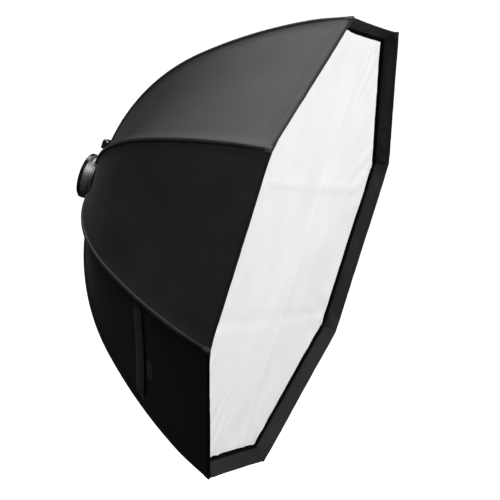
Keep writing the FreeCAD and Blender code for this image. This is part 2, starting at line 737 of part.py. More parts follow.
def make_half_gore(document, number, side):
    """Half of a gore: taut cloth from the rod's plane to mid gore, with its part of the hem and lip.

    side is "a" for the half before the rod and "b" for the half after it, going clockwise from the front.
    """
    towards = 1 if side == "a" else -1
    body = new_body(document, f"gore_{number}{side}", frame_at(rod_angle(number)))
    sketch = sketch_on(body, "YZ_Plane", f"{towards} * dims.cloth_gap")
    draw_outline(sketch, gore_outline())
    half_angle = math.radians(dim("gore_half_angle"))
    cloth = pad(body, sketch, "dims.gore_reach")
    cloth.UseCustomVector = True
    cloth.AlongSketchNormal = False
    cloth.Direction = FreeCAD.Vector(towards * math.cos(half_angle), 0, -math.sin(half_angle))
    wedge = sketch_on(body, "XZ_Plane")
    gap = "dims.cloth_gap / cos(dims.gore_half_angle)"
    reach = "dims.cutter_reach"
    draw_polygon(
        wedge,
        [
            (f"{-towards} * {gap}", "0"),
            (f"{towards} * ({reach} * tan(dims.gore_half_angle) - {gap})", reach),
            (f"{towards} * {reach}", reach),
            (f"{towards} * {reach}", f"-{reach}"),
            (f"{-towards} * {gap}", f"-{reach}"),
        ],
    )
    pocket(body, wedge, f"2 * {reach}", both_ways=True)
    return body


def make_diffuser(document):
    """Octagonal front cloth, recessed behind the hem."""
    body = new_body(document, "front_diffuser", frame_at(0))
    sketch = sketch_on(body, "XZ_Plane", "-dims.diffuser_depth + dims.diffuser_thick")
    corner = "dims.diffuser_flat / cos(dims.gore_half_angle)"
    angles = [f"{rod_angle(number)}" for number in range(1, dim("rod_count") + 1)]
    draw_polygon(
        sketch, [(f"{corner} * sin({angle})", f"{corner} * cos({angle})") for angle in angles]
    )
    pad(body, sketch, "dims.diffuser_thick", reverse=True)
    return body


def make_corner_tab(document, number):
    """Reinforced tab that holds one corner of the diffuser at its rod."""
    body = new_body(document, f"diffuser_tab_{number}", frame_at(rod_angle(number)))
    sketch = sketch_on(body, "XZ_Plane", "-dims.diffuser_depth - dims.tab_gap")
    inner = "dims.tab_outer - dims.tab_length"
    narrow = "dims.tab_width / 2 - dims.tab_corner"
    wide = "dims.tab_width / 2"
    draw_polygon(
        sketch,
        [
            (f"-({narrow})", inner),
            (narrow, inner),
            (wide, f"{inner} + dims.tab_corner"),
            (wide, "dims.tab_outer - dims.tab_taper"),
            (narrow, "dims.tab_outer"),
            (f"-({narrow})", "dims.tab_outer"),
            (f"-({wide})", "dims.tab_outer - dims.tab_taper"),
            (f"-({wide})", f"{inner} + dims.tab_corner"),
        ],
    )
    pad(body, sketch, "dims.tab_thick", reverse=True)
    return body


def make_swivel_parts(document):
    """The pieces that stay with the flash head."""
    ring = make_mount_ring(document)
    rubber = make_ring(
        document,
        "rubber_collar",
        "dims.rubber_start",
        "dims.rubber_end",
        "dims.bore_radius",
        "dims.rubber_outer",
    )
    neck = make_swivel_neck(document)
    retainer = make_ring(
        document,
        "retaining_ring",
        "dims.retainer_start",
        "dims.neck_end",
        "dims.neck_outer",
        "dims.retainer_outer",
    )
    return [ring, rubber, neck, retainer, make_neck_screws(document)]


def make_hub_parts(document):
    """The pieces of the turning hub."""
    return [
        make_hub_neck(document),
        make_hub_body(document),
        make_hub_cover(document),
        make_cover_screws(document),
        make_pivot_pins(document),
        make_release_ring(document),
        make_lock_knob(document),
        make_lock_stud(document),
        make_hub_collar(document),
        make_diffuser(document),
    ]


def make_rod_parts(document):
    """Rods, knuckles, half gores and corner tabs, eight times round the hub."""
    parts = []
    for number in range(1, dim("rod_count") + 1):
        parts.append(make_knuckle(document, number))
        parts.append(make_rod(document, number))
        parts.append(make_half_gore(document, number, "a"))
        parts.append(make_half_gore(document, number, "b"))
        parts.append(make_corner_tab(document, number))
    return parts


def check(document, parts):
    """Stop if anything failed to build."""
    for item in document.Objects:
        if "Invalid" in item.State or "Error" in item.State:
            raise ValueError(f"{item.Label}: {item.State}")
    for item in parts:
        if item.Shape.isNull() or not item.Shape.isValid():
            raise ValueError(f"{item.Label} has no valid shape")


def write_parts(parts):
    """One STEP file a sub-part, named after its label."""
    os.makedirs("parts", exist_ok=True)
    for item in parts:
        item.Shape.exportStep(os.path.join("parts", f"{item.Label}.step"))


def main():
    document = FreeCAD.newDocument("octabox")
    fill_sheet(document)
    parts = make_swivel_parts(document) + make_hub_parts(document) + make_rod_parts(document)
    document.recompute()
    check(document, parts)
    write_parts(parts)


main()
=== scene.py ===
# Looks of a folding octagonal softbox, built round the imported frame. Metres, +Z up, diffuser facing -Y.
# "Depth" is the distance forward of the mounting collar's rear face, and "lift" is the distance
# outwards from a rod's centre line. Rods are numbered clockwise from the upper left, seen from the front.

import json
import math

import bpy
import numpy as np
from mathutils import Matrix, Vector, noise


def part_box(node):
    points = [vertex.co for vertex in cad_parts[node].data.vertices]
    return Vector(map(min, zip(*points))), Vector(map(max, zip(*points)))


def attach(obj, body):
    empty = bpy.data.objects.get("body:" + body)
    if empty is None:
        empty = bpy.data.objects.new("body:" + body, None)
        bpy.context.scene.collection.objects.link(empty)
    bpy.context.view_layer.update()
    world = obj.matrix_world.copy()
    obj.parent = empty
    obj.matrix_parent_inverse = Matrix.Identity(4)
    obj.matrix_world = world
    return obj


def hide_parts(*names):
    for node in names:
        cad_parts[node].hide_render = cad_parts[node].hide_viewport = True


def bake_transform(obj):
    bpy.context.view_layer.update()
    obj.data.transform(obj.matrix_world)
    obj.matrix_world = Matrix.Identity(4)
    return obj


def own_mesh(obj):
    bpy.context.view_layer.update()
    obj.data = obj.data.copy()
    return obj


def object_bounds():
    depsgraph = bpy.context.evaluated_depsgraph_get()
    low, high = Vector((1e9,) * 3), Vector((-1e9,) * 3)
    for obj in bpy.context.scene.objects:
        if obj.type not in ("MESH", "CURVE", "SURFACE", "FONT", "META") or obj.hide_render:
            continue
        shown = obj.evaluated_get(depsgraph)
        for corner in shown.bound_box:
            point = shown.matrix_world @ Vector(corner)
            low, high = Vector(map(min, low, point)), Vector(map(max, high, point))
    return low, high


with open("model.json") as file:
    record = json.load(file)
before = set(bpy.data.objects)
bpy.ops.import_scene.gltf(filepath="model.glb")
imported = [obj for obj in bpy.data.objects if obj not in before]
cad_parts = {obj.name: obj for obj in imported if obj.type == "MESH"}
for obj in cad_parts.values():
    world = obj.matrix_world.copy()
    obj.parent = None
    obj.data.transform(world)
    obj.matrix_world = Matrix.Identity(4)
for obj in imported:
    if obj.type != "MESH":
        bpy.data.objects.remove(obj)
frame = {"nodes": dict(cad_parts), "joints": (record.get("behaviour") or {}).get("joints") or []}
CAD_BOX = [list(corner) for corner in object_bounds()]

# ---------------------------------------------------------------- places and sizes
JOINTS = {joint["name"]: joint for joint in frame["joints"]}
HINGE = JOINTS["rib_1_fold"]["pos_m"]
HINGE_RADIUS = math.hypot(HINGE[0], HINGE[2])
HINGE_DEPTH = -HINGE[1]
FIRST_ANGLE = math.atan2(HINGE[0], HINGE[2])
ROD_COUNT = 8
STEP = 2 * math.pi / ROD_COUNT
HALF = STEP / 2

# the rods' two bends
ROD_START = math.radians(11.0)
ROD_BEND_CHANGE = math.radians(50.5)
NEAR_BEND = 0.592
FAR_BEND = 1.414

# the cloth
FRONT_DEPTH = -CAD_BOX[0][1]
CLOTH_START = math.radians(13.2)
CLOTH_LIFT = 0.0064
CLOTH_HALF = 0.0005
POCKET_DROP = 0.0128
HEM_DROP = 0.0040
LIP_TAPER = 0.028
POCKET_WIDTH = 0.045
HEM_FOLD = 0.0036
LIP_LENGTH = 0.050
BOW_MIDDLE = 0.0075
BOW_FRONT = 0.0016
SLEEVE_RISE = 0.0034
SLEEVE_WIDTH = 0.015
FLAT_LENGTH = 0.11
HEM_SEAMS = (0.026, 0.043)
TAPE_WIDTH = 0.0115
TAPE_RIDGE = 0.0026
TAPE_BEAD = 0.0008
DIFFUSER_LIFT = -0.0118
STRAP_WIDTH = 0.036
STRAP_DEPTH = HINGE_DEPTH + 0.3294
POCKET_LENGTH = 0.018
POCKET_HALF = 0.0085
POCKET_START = 0.0012
HEM_MARGIN = 0.012
HEM_ROW = 0.002
STITCH_WIDTH = 0.0007
STITCH_HEIGHT = 0.0004
STITCH_PITCHES = {"hem": 0.0042, "tape": 0.0045, "pocket": 0.0036}
STITCH_LENGTHS = {"hem": 0.0031, "tape": 0.0033, "pocket": 0.0027}

# the near-black tape at the foot of the lip, which paints the shadow in the gap between lip and diffuser:
# (distance in front of the diffuser, lift), from the lip to the diffuser
LIP_TAPE_PROFILE = (
    (0.0066, -0.0096),
    (0.0045, -0.0104),
    (0.0025, -0.0110),
    (0.0006, -0.0120),
    (-0.0004, -0.0152),
)
LIP_TAPE_WAVE = 0.0008 / 0.0055

# the corner patches of the diffuser, and the cloth round the hub
PATCH_LENGTH = 0.034
PATCH_HALF = 0.0095
PATCH_INSET = 0.0045
PATCH_LIFT = 0.0008
HUB_HOLE = 0.0590
HUB_BEND = 0.086
CUFF_RISE = 0.0090
CUFF_SAG = 0.0012
CUFF_OVERLAP = 0.006
DIFFUSER_DEPTH = -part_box("front_diffuser")[0].y - 0.0010
COLLAR_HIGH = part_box("hub_collar")[1]
COLLAR_RADIUS = COLLAR_HIGH.x

EDGE_HALF = (CAD_BOX[1][0] - CAD_BOX[0][0]) / 2 * math.tan(HALF)

# how finely the cloth is divided
NEAR_STATIONS = 26
FAR_STATIONS = 26
FOLD_STATIONS = 7
LIP_STATIONS = 14
ACROSS = 32
# rows before the front fold that take the darker binding, which paints shade along the front edge
DARK_EDGE_ROWS = 3

FORWARD = np.array([0.0, -1.0, 0.0])


def rod_angle(number):
    """Angle of a rod from +Z towards +X; a number half way between two rods gives the gore's middle."""
    return FIRST_ANGLE + (number - 1) * STEP


def radial(number):
    angle = rod_angle(number)
    return np.array([math.sin(angle), 0.0, math.cos(angle)])


def tangent(number):
    angle = rod_angle(number)
    return np.array([math.cos(angle), 0.0, -math.sin(angle)])


def smooth(x):
    """0 below 0, 1 above 1, and an S between."""
    x = np.clip(x, 0.0, 1.0)
    return x * x * (3 - 2 * x)


def rod_line(slope, lift):
    """(radius, depth) where a rod's line has this slope, lifted outwards."""
    near = np.minimum(slope, ROD_BEND_CHANGE)
    far = np.maximum(slope, ROD_BEND_CHANGE)
    radius = (
        HINGE_RADIUS
        + NEAR_BEND * (np.sin(near) - math.sin(ROD_START))
        + FAR_BEND * (np.sin(far) - math.sin(ROD_BEND_CHANGE))
        + lift * np.sin(slope)
    )
    depth = (
        HINGE_DEPTH
        + NEAR_BEND * (math.cos(ROD_START) - np.cos(near))
        + FAR_BEND * (math.cos(ROD_BEND_CHANGE) - np.cos(far))
        - lift * np.cos(slope)
    )
    return radius, depth


def slope_at(back, lift):
    """Slope of the lifted rod's line at a distance back from the front edge."""
    centre = (
        HINGE_DEPTH
        + NEAR_BEND * (math.cos(ROD_START) - math.cos(ROD_BEND_CHANGE))
        + FAR_BEND * math.cos(ROD_BEND_CHANGE)
    )
    return np.arccos((centre - (FRONT_DEPTH - back)) / (FAR_BEND + lift))


def flatten(depth):
    """Share of the seams' height left at a depth: they grow flat towards the front edge."""
    return 0.30 + 0.70 * smooth((FRONT_DEPTH - depth) / FLAT_LENGTH)


def sleeve(offset, depth):
    """How far a rod pushes the cloth out at a distance to its side, at a depth."""
    return SLEEVE_RISE * flatten(depth) * np.exp(-((offset / SLEEVE_WIDTH) ** 2))


def place(number, side, radius, depth, share):
    """World points of a gore: share 0 is rod number's plane, 1 the gore's middle on that side (-1 or 1)."""
    chord = radius * math.sin(HALF) * share
    out = radius - chord * math.sin(HALF)
    along = side * chord * math.cos(HALF)
    return (
        out[..., None] * radial(number)
        + along[..., None] * tangent(number)
        + depth[..., None] * FORWARD
    )


# ---------------------------------------------------------------- meshes
def new_object(name, vertices, faces, materials, face_materials=None, uvs=None, normals=None):
    """A smooth mesh object with its materials, a UV map in metres and, if given, its own normals."""
    mesh = bpy.data.meshes.new(name)
    mesh.from_pydata([tuple(v) for v in vertices], [], faces)
    for material in materials:
        mesh.materials.append(material)
    mesh.polygons.foreach_set("use_smooth", [True] * len(mesh.polygons))
    if face_materials is not None:
        mesh.polygons.foreach_set("material_index", face_materials)
    if uvs is not None:
        layer = mesh.uv_layers.new(name="thread")
        loops = np.zeros(len(mesh.loops), int)
        mesh.loops.foreach_get("vertex_index", loops)
        layer.data.foreach_set("uv", np.asarray(uvs, np.float32)[loops].ravel())
    mesh.update()
    if normals is not None:
        mesh.normals_split_custom_set_from_vertices([tuple(n) for n in normals])
    piece = bpy.data.objects.new(name, mesh)
    bpy.context.scene.collection.objects.link(piece)
    return piece


def unit(vectors):
    return vectors / np.maximum(np.linalg.norm(vectors, axis=-1, keepdims=True), 1e-12)


def grid_normals(points):
    """Unit normals of a grid of points, on the side from which rows turn to columns anticlockwise."""
    rows = np.gradient(points, axis=0)
    columns = np.gradient(points, axis=1)
    return unit(np.cross(rows, columns))


def outward(points, direction, rows=None):
    """Unit normals of a grid, on the side that its first rows show towards a direction."""
    normals = grid_normals(points)
    return normals if np.sum(normals[:rows] @ direction) > 0 else -normals


def grid_lengths(points):
    """(u, v) in metres along the middle column and across each row, for the weave."""
    down = np.linalg.norm(np.diff(points, axis=0), axis=-1)
    down = np.concatenate([np.zeros((1, points.shape[1])), np.cumsum(down, axis=0)])
    across = np.linalg.norm(np.diff(points, axis=1), axis=-1)
    across = np.concatenate([np.zeros((points.shape[0], 1)), np.cumsum(across, axis=1)], axis=1)
    return np.stack([across, down], axis=-1)


def cloth_piece(name, points, normals, half, materials, outside=None, inside=None):
    """A closed thin sheet round a grid: the outer layer first, then the inner one, then the rims.

    outside and inside give the material number of each row of faces in the two layers.
    """
    rows, columns = points.shape[:2]
    count = rows * columns
    turned = np.sum(grid_normals(points) * normals) < 0
    outer = (points + normals * half).reshape(-1, 3)
    inner = (points - normals * half).reshape(-1, 3)
    outside = outside or [0] * (rows - 1)
    inside = inside or [0] * (rows - 1)
    faces = []
    marks = []
    for i in range(rows - 1):
        for j in range(columns - 1):
            a = i * columns + j
            quad = (a, a + columns, a + columns + 1, a + 1)
            faces.append(quad)
            marks.append(outside[i])
            faces.append(tuple(count + n for n in reversed(quad)))
            marks.append(inside[i])
    rim = (
        [j for j in range(columns)]
        + [i * columns + columns - 1 for i in range(1, rows)]
        + [(rows - 1) * columns + j for j in range(columns - 2, -1, -1)]
        + [i * columns for i in range(rows - 2, 0, -1)]
    )
    for n, first in enumerate(rim):
        second = rim[(n + 1) % len(rim)]
        faces.append((first, second, count + second, count + first))
        marks.append(0)
    if turned:
        faces = [face[::-1] for face in faces]
    lengths = grid_lengths(points).reshape(-1, 2)
    flat_normals = normals.reshape(-1, 3)
    return new_object(
        name,
        np.concatenate([outer, inner]),
        faces,
        materials,
        marks,
        np.concatenate([lengths, lengths]),
        np.concatenate([flat_normals, -flat_normals]),
    )


def stitch_row(name, places, directions, normals, length, width, height, material):
    """Short raised threads, one at each place, each pointed at both ends."""
    vertices = []
    faces = []
    for p, d, n in zip(places, directions, normals):
        s = np.cross(n, d)
        base = len(vertices)
        vertices += [
            p - d * length / 2,
            p + d * length / 2,
            p - s * width / 2,
            p + s * width / 2,
            p + n * height,
            p - n * height,
        ]
        for end in (0, 1):
            ring = (2, 4, 3, 5) if end == 0 else (2, 5, 3, 4)
            for m in range(4):
                faces.append((base + end, base + ring[(m + 1) % 4], base + ring[m]))
    return new_object(name, vertices, faces, [material])


def sew(name, rows, kind):
    """One object with the stitches of several rows, each row as along_line gives it."""
    places, directions, ups = (np.concatenate([row[n] for row in rows]) for n in range(3))
    return stitch_row(
        name, places, directions, ups, STITCH_LENGTHS[kind], STITCH_WIDTH, STITCH_HEIGHT, THREAD
    )


def along_line(points, normals, pitch):
    """Evenly spaced (places, directions, normals) along a line of points."""
    steps = np.linalg.norm(np.diff(points, axis=0), axis=1)
    length = np.concatenate([[0], np.cumsum(steps)])
    marks = np.arange(pitch, length[-1] - pitch / 2, pitch)
    places = np.stack([np.interp(marks, length, points[:, n]) for n in range(3)], axis=1)
    ups = unit(np.stack([np.interp(marks, length, normals[:, n]) for n in range(3)], axis=1))
    directions = unit(np.gradient(places, axis=0))
    return places, directions, ups


def follow(piece):
    """Bake a piece's placement into its mesh.
    """
    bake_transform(piece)


# ---------------------------------------------------------------- materials
def node_material(name):
    """A material with its node tree, its shader and a helper that adds and links a node."""
    material = bpy.data.materials.new(name)
    material.use_nodes = True
    tree = material.node_tree
    shader = tree.nodes["Principled BSDF"]

    def add(kind, inputs=None, **settings):
        node = tree.nodes.new(kind)
        for key, value in settings.items():
            setattr(node, key, value)
        for key, value in (inputs or {}).items():
            if isinstance(value, bpy.types.NodeSocket):
                tree.links.new(value, node.inputs[key])
            else:
                node.inputs[key].default_value = value
        return node

    return material, tree, shader, add


def ramp(add, source, stops):
    """Colour ramp over a factor: stops are (position, grey or colour)."""
    node = add("ShaderNodeValToRGB", {"Fac": source})
    elements = node.color_ramp.elements
    while len(elements) < len(stops):
        elements.new(0.5)
    for element, (position, colour) in zip(elements, stops):
        element.position = position
        colour = (colour,) * 3 if isinstance(colour, (int, float)) else colour
        element.color = (*colour, 1.0)
    return node.outputs["Color"]


def cloth_material(name, dark, light, roughness, thread, bump, sheen, specular=0.5, metallic=0.0):
    """Woven cloth: over and under threads from the UV map in metres, and soft blotches in the dye."""
    material, tree, shader, add = node_material(name)
    uv = add("ShaderNodeUVMap", uv_map="thread").outputs["UV"]
    weft = add("ShaderNodeTexWave", {"Vector": uv, "Scale": 1 / thread / 6.283 * 0.5}, bands_direction="X")
    warp = add("ShaderNodeTexWave", {"Vector": uv, "Scale": 1 / thread / 6.283 * 0.5}, bands_direction="Y")
    weave = add(
        "ShaderNodeMath", {0: weft.outputs["Fac"], 1: warp.outputs["Fac"]}, operation="MULTIPLY"
    ).outputs[0]
    coordinates = add("ShaderNodeTexCoord").outputs["Object"]
    blotches = add("ShaderNodeTexNoise", {"Vector": coordinates, "Scale": 9.0, "Detail": 5.0}).outputs["Fac"]
    fine = add("ShaderNodeTexNoise", {"Vector": coordinates, "Scale": 260.0, "Detail": 2.0}).outputs["Fac"]
    share = add("ShaderNodeMath", {0: blotches, 1: 0.75}, operation="MULTIPLY").outputs[0]
    share = add("ShaderNodeMath", {0: weave, 1: 0.25, 2: share}, operation="MULTIPLY_ADD").outputs[0]
    tree.links.new(ramp(add, share, [(0.25, dark), (0.75, light)]), shader.inputs["Base Color"])
    rough = add(
        "ShaderNodeMapRange",
        {"Value": blotches, "To Min": roughness - 0.05, "To Max": roughness + 0.06},
    ).outputs[0]
    tree.links.new(rough, shader.inputs["Roughness"])
    height = add("ShaderNodeMath", {0: fine, 1: 0.5, 2: weave}, operation="MULTIPLY_ADD").outputs[0]
    relief = add("ShaderNodeBump", {"Height": height, "Strength": bump, "Distance": 0.0002})
    tree.links.new(relief.outputs["Normal"], shader.inputs["Normal"])
    shader.inputs["Metallic"].default_value = metallic
    shader.inputs["Specular IOR Level"].default_value = specular
    shader.inputs["Sheen Weight"].default_value = sheen
    shader.inputs["Sheen Roughness"].default_value = 0.45
    return material


def solid_material(
    name, dark, light, roughness, grain, bump, metallic=0.0, specular=0.5, coat=0.0, stretch=None
):
    """Moulded, turned or drawn material: mottled colour, uneven roughness and a fine surface."""
    material, tree, shader, add = node_material(name)
    coordinates = add("ShaderNodeTexCoord").outputs["Object"]
    if stretch:
        coordinates = add("ShaderNodeMapping", {"Vector": coordinates, "Scale": stretch}).outputs[0]
    mottle = add(
        "ShaderNodeTexNoise", {"Vector": coordinates, "Scale": grain / 12, "Detail": 6.0}
    ).outputs["Fac"]
    fine = add("ShaderNodeTexNoise", {"Vector": coordinates, "Scale": grain, "Detail": 3.0}).outputs["Fac"]
    tree.links.new(ramp(add, mottle, [(0.3, dark), (0.7, light)]), shader.inputs["Base Color"])
    rough = add(
        "ShaderNodeMapRange",
        {"Value": fine, "To Min": roughness * 0.8, "To Max": roughness * 1.25},
    ).outputs[0]
    tree.links.new(rough, shader.inputs["Roughness"])
    relief = add("ShaderNodeBump", {"Height": fine, "Strength": bump, "Distance": 0.0003})
    tree.links.new(relief.outputs["Normal"], shader.inputs["Normal"])
    shader.inputs["Metallic"].default_value = metallic
    shader.inputs["Specular IOR Level"].default_value = specular
    shader.inputs["Coat Weight"].default_value = coat
    shader.inputs["Coat Roughness"].default_value = 0.08
    return material


def mount_material():
    """Mount ring: glossy black rim, then a satin grey waist, split by depth."""
    material, tree, shader, add = node_material("mount_ring_two_tone")
    coordinates = add("ShaderNodeTexCoord").outputs["Object"]
    depth = add("ShaderNodeSeparateXYZ", {"Vector": coordinates}).outputs["Y"]
    waist = add(
        "ShaderNodeMapRange",
        {"Value": depth, "From Min": -0.0108, "From Max": -0.0114},
    ).outputs[0]
    grain = add("ShaderNodeTexNoise", {"Vector": coordinates, "Scale": 700.0, "Detail": 3.0}).outputs["Fac"]
    rim = ramp(add, grain, [(0.3, 0.004), (0.7, 0.008)])
    neck = ramp(add, grain, [(0.3, 0.20), (0.7, 0.28)])
    colour = add("ShaderNodeMix", {0: waist, 6: rim, 7: neck}, data_type="RGBA").outputs[2]
    tree.links.new(colour, shader.inputs["Base Color"])
    rough = add("ShaderNodeMapRange", {"Value": waist, "To Min": 0.16, "To Max": 0.42}).outputs[0]
    tree.links.new(rough, shader.inputs["Roughness"])
    metal = add("ShaderNodeMath", {0: waist, 1: 0.85}, operation="MULTIPLY").outputs[0]
    tree.links.new(metal, shader.inputs["Metallic"])
    relief = add("ShaderNodeBump", {"Height": grain, "Strength": 0.05, "Distance": 0.0002})
    tree.links.new(relief.outputs["Normal"], shader.inputs["Normal"])
    return material


BLACK_CLOTH = cloth_material("black_nylon", 0.0075, 0.0125, 0.50, 0.0004, 0.35, 0.03, specular=0.35)
SILVER_LINING = cloth_material("silver_lining", 0.62, 0.80, 0.34, 0.0005, 0.5, 0.0, metallic=0.9)
# binding at the front edge, darker and duller than the black nylon: a real binding whose extra darkness is
# painted shade along the front edge
EDGE_BINDING_PAINTED_SHADE = cloth_material("edge_binding_painted_shade", 0.004, 0.008, 0.60, 0.0008, 0.5, 0.0, specular=0.22)
# the lip is the same black nylon; this copy's lighter base and weaker gloss are set to the light the lip
# gets, painted light and shade
LIP_NYLON_LIT_COPY = cloth_material("lip_nylon_lit_copy", 0.011, 0.019, 0.68, 0.0004, 0.45, 0.0, specular=0.10)
# near-black, almost glossless tape: painted shade for the shadow in the gap between the lip and the
# diffuser's edge
LIP_SHADOW_TAPE = cloth_material("lip_shadow_tape", 0.0012, 0.0024, 0.90, 0.0008, 0.5, 0.0, specular=0.02)
TAPE = cloth_material("binding_tape", 0.010, 0.018, 0.55, 0.0009, 0.6, 0.04, specular=0.3)
WEBBING = cloth_material("webbing", 0.026, 0.044, 0.60, 0.0016, 0.8, 0.08)
THREAD = solid_material("thread", 0.035, 0.06, 0.6, 900.0, 0.3)
WHITE_CLOTH = cloth_material("diffuser_cloth", 0.80, 0.86, 0.62, 0.0005, 0.25, 0.05)
WHITE_PATCH = cloth_material("diffuser_patch", 0.76, 0.83, 0.65, 0.0008, 0.6, 0.05)
GLOSS_BLACK = solid_material("gloss_black", 0.004, 0.009, 0.16, 800.0, 0.06, coat=0.5)
RUBBER = solid_material("rubber", 0.014, 0.024, 0.75, 900.0, 0.5, specular=0.3)
SATIN_METAL = solid_material("satin_metal", 0.20, 0.27, 0.36, 500.0, 0.12, metallic=0.9, stretch=(1, 14, 1))
DARK_METAL = solid_material("dark_metal", 0.10, 0.15, 0.38, 500.0, 0.12, metallic=0.85, stretch=(1, 14, 1))
HUB_PLASTIC = solid_material("hub_plastic", 0.012, 0.020, 0.48, 1400.0, 0.35)
STEEL = solid_material("zinc_steel", 0.42, 0.55, 0.30, 1200.0, 0.15, metallic=1.0)
SPRING_STEEL = solid_material("spring_steel", 0.28, 0.38, 0.28, 900.0, 0.12, metallic=1.0)
KNUCKLE_PLASTIC = solid_material("knuckle_plastic", 0.014, 0.022, 0.5, 1300.0, 0.4)


# ---------------------------------------------------------------- gores
def station_grid(share):
    """Radii and depths of half a gore, from the hub to the front edge and back along the lip.

    share holds the columns' places from the rod's plane, 0, to the gore's middle, 1. The third
    value is the number of rows before the fold at the front edge.
    """
    belly = belly_of(share)
    width_at_front = rod_line(slope_at(0.0, 0.0), 0.0)[0] * math.sin(HALF)
    drop = POCKET_DROP + (HEM_DROP - POCKET_DROP) * smooth(share * width_at_front / POCKET_WIDTH)
    near_slopes = np.linspace(CLOTH_START, ROD_BEND_CHANGE, NEAR_STATIONS)
    near_length = NEAR_BEND * (ROD_BEND_CHANGE - CLOTH_START)
    far_length = FAR_BEND * (slope_at(0.0, 0.0) - ROD_BEND_CHANGE)
    radii = []
    depths = []

    def add(slope, lift, rise=1.0):
        radius, depth = rod_line(slope + 0 * share, lift)
        risen = lift + rise * sleeve(radius * math.sin(HALF) * math.cos(HALF) * share, depth)
        radius, depth = rod_line(slope + 0 * share, risen)
        radii.append(radius)
        depths.append(depth)

    def bow(run):
        part = run / (near_length + far_length)
        return (BOW_MIDDLE * np.sin(math.pi * part) + BOW_FRONT * part**3) * belly

    for slope in near_slopes[:-1]:
        add(slope, CLOTH_LIFT - bow(NEAR_BEND * (slope - CLOTH_START)))
    hem_top = max(HEM_SEAMS) + HEM_MARGIN
    front_bow = bow(near_length + far_length)
    for part in np.linspace(0, 1, FAR_STATIONS):
        lift = CLOTH_LIFT - bow(near_length + part * far_length * 0.93)
        add(ROD_BEND_CHANGE + part * (slope_at(hem_top, lift) - ROD_BEND_CHANGE), lift)
    lift = CLOTH_LIFT - front_bow
    for back in np.arange(hem_top - HEM_ROW, HEM_FOLD, -HEM_ROW):
        add(slope_at(back, lift), lift - seam_dent(back))
    for turn in np.linspace(0, math.pi, FOLD_STATIONS):
        part = (1 - math.cos(turn)) / 2
        folded = lift - drop * part
        add(slope_at(HEM_FOLD * (1 - math.sin(turn)) + CLOTH_HALF, folded), folded, 1 - part)
    outside_rows = len(radii)
    for back in np.linspace(HEM_FOLD, LIP_LENGTH, LIP_STATIONS + 1)[1:]:
        taper = smooth((back - HEM_FOLD) / LIP_TAPER)
        inside = lift - drop - (POCKET_DROP - drop) * taper
        add(slope_at(back, inside), inside, 0.0)
    return np.array(radii), np.array(depths), outside_rows - FOLD_STATIONS


def belly_of(share):
    """0 at a rod and 1 at the gore's middle, as the cloth's bow goes."""
    return 1 - (1 - share) ** 2


def seam_dent(back):
    """How far the hem's stitch lines pull the cloth in, at a distance back from the front edge."""
    return sum(0.0003 * math.exp(-((back - seam) / 0.0022) ** 2) for seam in HEM_SEAMS)


def corner_pull(share, back):
    """Folds on the lip that fan out from a corner of the front edge."""
    along = share * EDGE_HALF
    reach = math.hypot(along, back)
    return 0.0021 * math.sin(math.atan2(back, along) * 11.0) * math.exp(-reach / 0.055)


def wrinkle(points, normals, share, back, lip_row):
    """Small folds: broad slack everywhere, puckers at the hem, and deeper creases on the lip."""
    off_rod = smooth(share * 5)
    result = np.zeros(share.shape)
    for index in np.ndindex(result.shape):
        p = Vector(points[index])
        slack = noise.noise(p * 5.0) * 0.0011 + noise.noise(p * 14.0 + Vector((7, 3, 1))) * 0.00035
        hem = math.exp(-max(back[index], 0.0) / 0.05)
        puckers = noise.noise(p * 38.0 + Vector((2, 9, 4))) * 0.0005 * hem
        result[index] = slack + puckers
        if index[0] > lip_row:
            crease_at = noise.noise(p * 21.0 + Vector((5, 1, 8)))
            speck = noise.noise(p * 62.0 + Vector((3, 6, 2))) * 0.0007
            held = 1 - 0.75 * smooth((back[index] - 0.029) / 0.007)
            pull = corner_pull(share[index], back[index])
            depth_in = smooth((index[0] - lip_row) / 4) * held
            result[index] = slack * 0.6 + (0.0012 - 0.0042 * abs(crease_at) + speck + pull) * depth_in
    return points + normals * (result * off_rod)[..., None]


def build_gore(number):
    """Both halves of the gore between a rod and the next one, from one grid, so that they meet unseen."""
    following = number % ROD_COUNT + 1
    share = np.linspace(0, 1, ACROSS + 1)
    radii, depths, lined = station_grid(share)
    first = place(number, 1, radii, depths, share)
    second = place(following, -1, radii, depths, share)[:, ::-1]
    points = np.concatenate([first, second[:, 1:]], axis=1)
    shares = np.concatenate([share, share[::-1][1:]])
    side_on = radial(number + 0.5)
    normals = outward(points, side_on, lined)
    back = FRONT_DEPTH - np.concatenate([depths, depths[:, ::-1][:, 1:]], axis=1)
    points = wrinkle(points, normals, shares[None, :] + 0 * back, back, lined + FOLD_STATIONS)
    normals = outward(points, side_on, lined)
    halves = ((number, 1, slice(0, ACROSS + 1)), (following, -1, slice(ACROSS, 2 * ACROSS + 1)))
    for rod, side, columns in halves:
        letter = "b" if side > 0 else "a"
        grid = points[:, columns]
        fold = FOLD_STATIONS // 2
        lip = grid.shape[0] - 1 - lined - fold
        piece = cloth_piece(
            f"panel_cloth_{rod}{letter}",
            grid,
            normals[:, columns],
            CLOTH_HALF,
            [BLACK_CLOTH, SILVER_LINING, EDGE_BINDING_PAINTED_SHADE, LIP_NYLON_LIT_COPY],
            # the last rows before the fold and the fold itself take the darker binding, painted shade along
            # the front edge
            [0] * (lined - DARK_EDGE_ROWS) + [2] * (DARK_EDGE_ROWS + fold) + [3] * lip,
            [1] * lined + [2] * fold + [3] * lip,
        )
        follow(piece)
        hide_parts(f"gore_{rod}{letter}")
        rows = hem_stitches(rod, side, letter)


